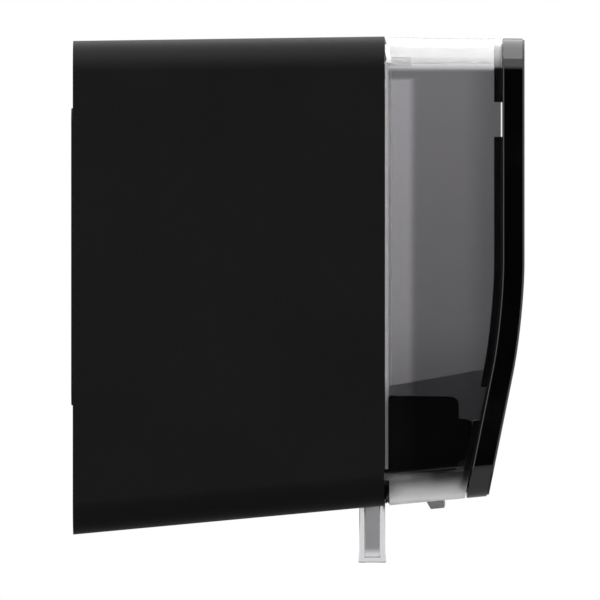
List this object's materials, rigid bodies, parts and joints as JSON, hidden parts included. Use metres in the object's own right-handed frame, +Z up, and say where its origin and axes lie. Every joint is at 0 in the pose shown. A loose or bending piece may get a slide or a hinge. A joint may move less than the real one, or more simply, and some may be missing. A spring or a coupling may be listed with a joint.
{
  "type": "toilet paper dispenser",
  "caption": "Wall-mounted twin-roll toilet paper dispenser: black housing, smoked hinged cover with a black front, and a sliding shutter with a lever below.",
  "frame": {"origin": "centre of the wall plate's back face, on the wall", "axes": "+X to the right seen from the front, +Y into the wall, +Z up; the front looks along -Y"},
  "size_m": [0.33, 0.1845, 0.2144],
  "materials": {
    "housing_black": "fine spark texture",
    "plate_black": "powder coated",
    "frame_black": "satin",
    "chute_black": "satin",
    "face_gloss": "polished",
    "panel_black": "fine grain",
    "clear_smoke": "smoked transparent",
    "dark_smoke": "dark smoked transparent",
    "clear": "clear",
    "tear_grey": "satin",
    "steel": "zinc plated",
    "spring_steel": "drawn wire",
    "nylon": "natural",
    "rubber": "moulded"
  },
  "bodies": {
    "housing": {"rear_housing": "housing_black", "wall_plate": "plate_black", "roll_frame": "frame_black", "frame_screws": "steel", "centre_post": "frame_black", "post_screws": "steel", "inner_axle": "steel", "inner_axle_nut": "steel", "inner_washers": "nylon", "arm_pivot_pins": "steel", "paper_chute": "chute_black", "chute_screws": "steel", "shutter_rail_front": "clear", "shutter_rail_back": "clear", "shutter_stops": "rubber", "hinge_brackets": "chute_black", "hinge_pins": "steel", "lock_sleeve": "chute_black", "left_arm_spring": "spring_steel", "right_arm_spring": "spring_steel"},
    "cover": {"clear_ring": "clear_smoke", "face_frame": "face_gloss", "front_panel": "panel_black", "left_shade": "dark_smoke", "right_shade": "dark_smoke", "tear_bar": "tear_grey", "hinge_leaves": "clear", "cover_catch": "clear"},
    "lock": {"lock_plug": "steel", "lock_hook": "steel", "hook_screw": "steel"},
    "shutter": {"shutter_door": "clear", "shutter_lever": "clear", "lever_screws": "steel"},
    "left_arm": {"left_arm": "frame_black", "left_axle": "steel", "left_axle_nut": "steel", "left_washer": "nylon"},
    "right_arm": {"right_arm": "frame_black", "right_axle": "steel", "right_axle_nut": "steel", "right_washer": "nylon"},
    "left_outer_hub": {"left_outer_hub": "nylon"},
    "right_outer_hub": {"right_outer_hub": "nylon"},
    "left_inner_hub": {"left_inner_hub": "nylon"},
    "right_inner_hub": {"right_inner_hub": "nylon"}
  },
  "joints": [
    {"name": "cover_hinge", "type": "hinge", "parent": "housing", "child": "cover", "pos_m": [0, -0.13103, -0.09816], "axis": [1, 0, 0], "range_deg": [0, 80]},
    {"name": "lock_turn", "type": "hinge", "parent": "housing", "child": "lock", "pos_m": [0, -0.108, 0.08], "axis": [0, 0, -1], "range_deg": [0, 80]},
    {"name": "shutter_slide", "type": "slide", "parent": "housing", "child": "shutter", "axis": [1, 0, 0], "range_m": [0, 0.1404]},
    {"name": "left_arm_swing", "type": "hinge", "parent": "housing", "child": "left_arm", "pos_m": [-0.1341, -0.024, 0.012], "axis": [0, 0, -1], "range_deg": [0, 12], "stiffness_Nm_per_rad": 0.6, "springref_deg": -8.59, "deforming": ["left_arm_spring"]},
    {"name": "right_arm_swing", "type": "hinge", "parent": "housing", "child": "right_arm", "pos_m": [0.1341, -0.024, 0.012], "axis": [0, 0, 1], "range_deg": [0, 12], "stiffness_Nm_per_rad": 0.6, "springref_deg": -8.59, "deforming": ["right_arm_spring"]},
    {"name": "left_outer_hub_spin", "type": "hinge", "parent": "left_arm", "child": "left_outer_hub", "pos_m": [-0.125, -0.088, 0.012], "axis": [1, 0, 0], "continuous": true},
    {"name": "right_outer_hub_spin", "type": "hinge", "parent": "right_arm", "child": "right_outer_hub", "pos_m": [0.125, -0.088, 0.012], "axis": [1, 0, 0], "continuous": true},
    {"name": "left_inner_hub_spin", "type": "hinge", "parent": "housing", "child": "left_inner_hub", "pos_m": [-0.01, -0.088, 0.012], "axis": [1, 0, 0], "continuous": true},
    {"name": "right_inner_hub_spin", "type": "hinge", "parent": "housing", "child": "right_inner_hub", "pos_m": [0.01, -0.088, 0.012], "axis": [1, 0, 0], "continuous": true}
  ]
}
